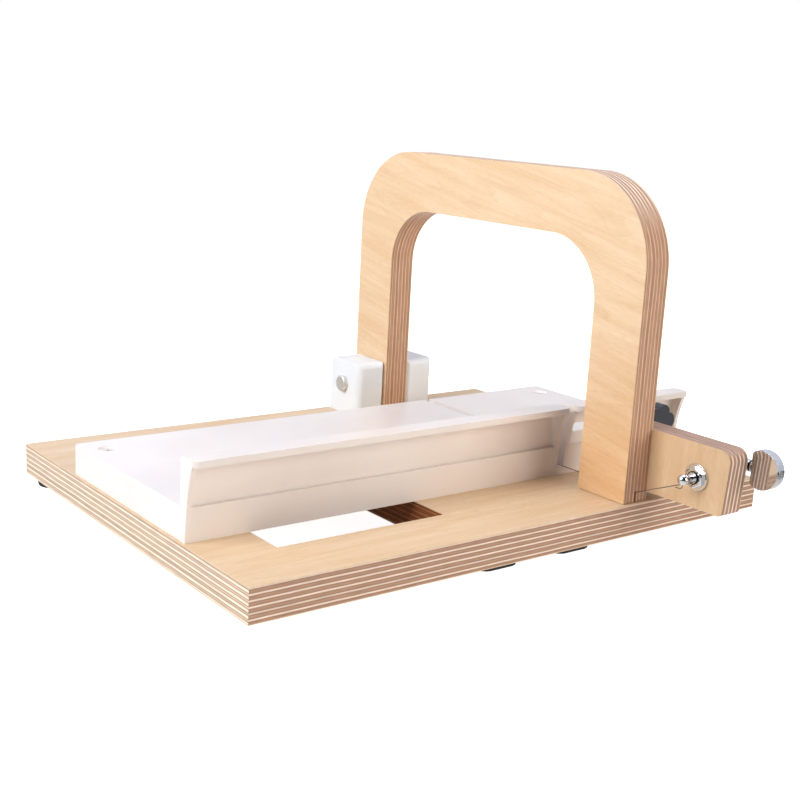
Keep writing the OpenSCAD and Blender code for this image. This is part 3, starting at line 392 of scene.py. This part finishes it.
def birchPlywood(name, board):
    material, tree, shader, coords = newMaterial(name, board["finish"])
    spot = boardSpot(tree, board, coords)
    plies, fibres = edgePlies(tree, board, spot)
    if "cutOutShadeBox" in board:
        plies = shadedCutOutPlies(tree, board, spot, plies)
    veneer, pores = faceVeneer(tree, board, spot)

    face = addNode(tree, "MapRange", {
        "Value": spot["facesDepth"], **span("From", board["faceFacing"]),
    }, interpolation_type="SMOOTHSTEP").outputs[0]
    outer = addNode(tree, "Math", {0: spot["toFace"], 1: board["skin"]},
                    operation="LESS_THAN").outputs[0]
    face = addNode(tree, "Math", {0: face, 1: outer}, operation="MULTIPLY").outputs[0]
    veneerEdge = addNode(tree, "Math", {0: 1.0, 1: spot["inner"]},
                         operation="SUBTRACT").outputs[0]
    face = addNode(tree, "Math", {0: face, 1: veneerEdge}, operation="MAXIMUM").outputs[0]
    colour = addNode(tree, "Mix", {blend: face, colourA: plies, colourB: veneer},
                     data_type="RGBA").outputs[mixedColour]
    tree.links.new(colour, shader.inputs["Base Color"])
    rough = addNode(tree, "MapRange", {
        "Value": face, **span("To", (board["edgeRoughness"], board["faceRoughness"])),
    })
    tree.links.new(rough.outputs[0], shader.inputs["Roughness"])
    relief = addNode(tree, "Mix", {blend: face, floatA: fibres, floatB: pores})
    bump = addNode(tree, "Bump", {
        "Height": relief.outputs[0], "Strength": board["reliefStrength"],
        "Distance": board["relief"] * mm,
    })
    tree.links.new(bump.outputs[0], shader.inputs["Normal"])
    return material


boardLow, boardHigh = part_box("base_board")
boardPly = birchPlywood("birchPlywoodBoard", {
    **birch, "depthAxis": (0, 0, 1), "grain": (1, 0, 0),
    "lowFace": boardLow.z / mm, "thickness": (boardHigh.z - boardLow.z) / mm,
    # painted shade: the cut-out's walls are darkened and warmed, for the shade inside it
    "cutOutShadeBox": ((-138, -93, 0), (-36, -20, 18)),  # the cut-out's lowest and highest corners
    "cutOutShadeReach": 1.0, "cutOutShadeTint": "#c98c60",
})
bowLow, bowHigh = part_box("bow_frame")
bowPly = birchPlywood("birchPlywoodBow", {
    **birch, "depthAxis": (1, 0, 0), "grain": (0, 1, 0.2),
    "lowFace": bowLow.x / mm, "thickness": (bowHigh.x - bowLow.x) / mm,
    "pliesPitch": 2.7, "pliesShift": -0.55, "lightShare": 0.62,
    "sway": 0.55, "swayLength": 45, "swayDepth": 5, "glueDark": 0.3, "plyTones": (0.88, 1.08),
    "endLight": "#ebc4a6", "endBrown": "#c49575", "veneer": "#f5d7b2", "veneerDark": "#ecc79c",
    # painted shade: the bow's veneer darkens and warms towards its low near side
    "lowSideShadeTowards": (0, 0.7, 1), "lowSideShadeSpan": (-40, 40), "lowSideShadeTint": "#f4e6d6",  # mm, along it
})
armLow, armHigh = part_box("tuner_arm")
armPly = birchPlywood("birchPlywoodArm", {
    **birch, "depthAxis": (1, 0, 0), "grain": (0, 0, 1),
    "lowFace": armLow.x / mm, "thickness": (armHigh.x - armLow.x) / mm,
    "pliesShift": 0, "glueDark": 0.2, "lightPly": "#fae1cc", "brownPly": "#b18a72",
    "endLight": "#cfb09f", "endBrown": "#bd9c8b", "veneer": "#e3c19a", "veneerDark": "#d8b388",
})


# the other materials

def mottled(name, look, colours, grain, bump=0, roughness=None):
    # two tones mixed by a noise, of which grain is the size and bump the height, in mm
    material, tree, shader, coords = newMaterial(name, look)
    noise = addNode(tree, "TexNoise", {
        "Vector": coords.outputs["Object"], "Scale": 1 / (grain * mm), "Detail": 3,
    }).outputs["Fac"]
    tone = addNode(tree, "MapRange", {"Value": noise, **span("From", noiseSpread)})
    colour = addNode(tree, "Mix", {
        blend: tone.outputs[0], colourA: linear(colours[0]), colourB: linear(colours[1]),
    }, data_type="RGBA")
    tree.links.new(colour.outputs[mixedColour], shader.inputs["Base Color"])
    if roughness:
        rough = addNode(tree, "MapRange", {
            "Value": noise, **span("From", noiseSpread), **span("To", roughness),
        })
        tree.links.new(rough.outputs[0], shader.inputs["Roughness"])
    if bump:
        relief = addNode(tree, "Bump", {"Height": noise, "Strength": 0.3, "Distance": bump * mm})
        tree.links.new(relief.outputs[0], shader.inputs["Normal"])
    return material


# moulded polystyrene: even, smooth and a little see-through at thin walls, with a soft sheen
trayPlastic = mottled("mouldedPolystyrene", {
    "Roughness": 0.3, "IOR": 1.59,
    "Subsurface Weight": 0.3, "Subsurface Radius": (0.008, 0.006, 0.004),
}, ("#eee4de", "#f2eae4"), grain=40)

# machined polyethylene: waxy, milky and dull
blockPlastic = mottled("machinedPolyethylene", {
    "IOR": 1.51, "Subsurface Weight": 0.8, "Subsurface Radius": (0.022, 0.022, 0.024),
}, ("#eef3ff", "#f2f6ff"), grain=12, roughness=(0.45, 0.55))

# moulded ABS, spark-eroded: dark grey and dull, its fine grain drawn coarse enough to show
knobPlastic = mottled("mouldedAbs", {"IOR": 1.54}, ("#242831", "#323742"),
                      grain=0.6, bump=0.03, roughness=(0.4, 0.6))

# moulded rubber: nearly black, with hardly a shine
rubber = mottled("mouldedRubber", {"IOR": 1.52}, ("#1d1c1c", "#2a2928"),
                 grain=1.2, bump=0.05, roughness=(0.7, 0.9))

# chrome plate on a polished casting: a sharp mirror, barely uneven
chrome = mottled("chromePlate", {"Metallic": 1.0}, ("#d9dadc", "#e2e3e5"),
                 grain=2, bump=0.002, roughness=(0.04, 0.09))

# bright zinc on pressed steel: a greyer, blurred shine, its crystals drawn coarse enough to show
zincSteel = mottled("zincPlatedSteel", {"Metallic": 1.0}, ("#aeb0b3", "#c3c5c8"),
                    grain=0.8, bump=0.01, roughness=(0.22, 0.4))

# stainless screws, tumbled: pale and soft
stainless = mottled("tumbledStainlessSteel", {"Metallic": 1.0, "Roughness": 0.5},
                    ("#d9d4cc", "#e6e2db"), grain=0.8, bump=0.01)

# spring steel, drawn to a wire: a thin grey line with a warm glint
springSteel = mottled("drawnSpringSteel", {"Metallic": 1.0, "Roughness": 0.25},
                      ("#8b8783", "#a19d99"), grain=0.8, bump=0.004)

# steel, blackened: dark rings between the bright ones, with a faint shine
blackOxide = mottled("blackenedSteel", {"Metallic": 1.0, "Roughness": 0.4},
                     ("#1a1817", "#262322"), grain=0.5, bump=0.01)

# brass, turned: yellow and clean
brass = mottled("turnedBrass", {"Metallic": 1.0}, ("#b79553", "#cbab67"),
                grain=0.6, bump=0.01, roughness=(0.25, 0.4))

# aluminium, extruded: light grey and satin
aluminium = mottled("extrudedAluminium", {"Metallic": 1.0, "Roughness": 0.4},
                    ("#b3b5b8", "#c4c6c9"), grain=1.5, bump=0.01)
print("materials made")


# dressing the CAD nodes: joined facets, rounded edges, even shading

dressing = {
    "weld": 0.002 * mm,
    "flat": math.radians(0.5),  # facets that turn less are one
    "sharp": math.radians(28),  # edges that turn more are rounded
    "segments": 3,
}
finishes = {  # node: material, edge radius in mm
    "base_board": (boardPly, 0.35), "bow_frame": (bowPly, 1.5), "tuner_arm": (armPly, 0.7),
    "round_feet": (rubber, 0.6), "front_pads": (rubber, 0.6), "foot_screws": (zincSteel, 0.1),
    "tray": (trayPlastic, 0.6), "tray_screws": (stainless, 0.15),
    "pivot_block_front": (blockPlastic, 4), "pivot_block_rear": (blockPlastic, 4),
    "block_screws": (zincSteel, 0.1), "pivot_bolt": (stainless, 0.3),
    "pivot_washer": (zincSteel, 0.2), "pivot_nut": (zincSteel, 0.25),
    "arm_screws": (zincSteel, 0.1), "cutting_wire": (springSteel, 0),
    "wire_ball_end": (brass, 0.2), "tuner_housing": (chrome, 0.4), "tuner_plate": (chrome, 0.2),
    "housing_screw": (chrome, 0.1), "tuner_bushing": (chrome, 0.15),
    "tuner_washer": (chrome, 0.2), "post_ring": (blackOxide, 0.1), "tuner_post": (chrome, 0.1),
    "tuner_gear": (brass, 0.1), "gear_screw": (chrome, 0.1), "worm_shaft": (chrome, 0),
    "friction_washer": (blackOxide, 0.2), "shaft_collar": (chrome, 0.15),
    "tuner_button": (chrome, 0.9), "button_screw": (chrome, 0.1),
    "stop_plate": (aluminium, 0.3), "stop_bolt": (zincSteel, 0.15),
    "stop_washer": (zincSteel, 0.15), "stop_knob": (knobPlastic, 0.7),
    "knob_insert": (brass, 0.15),
}


def dress(piece, material, edge):
    for materialSlot in piece.material_slots:
        materialSlot.material = material
    weld = piece.modifiers.new("weld", "WELD")
    weld.merge_threshold = dressing["weld"]
    join = piece.modifiers.new("joinFacets", "DECIMATE")
    join.decimate_type = "DISSOLVE"
    join.angle_limit = dressing["flat"]
    if edge:
        rounding = piece.modifiers.new("roundEdges", "BEVEL")
        rounding.width = edge * mm
        rounding.segments = dressing["segments"]
        rounding.limit_method = "ANGLE"
        rounding.angle_limit = dressing["sharp"]
    even = piece.modifiers.new("evenShading", "WEIGHTED_NORMAL")
    even.keep_sharp = False


for name, (material, edge) in finishes.items():
    dress(nodes[name], material, edge)
print("nodes dressed")
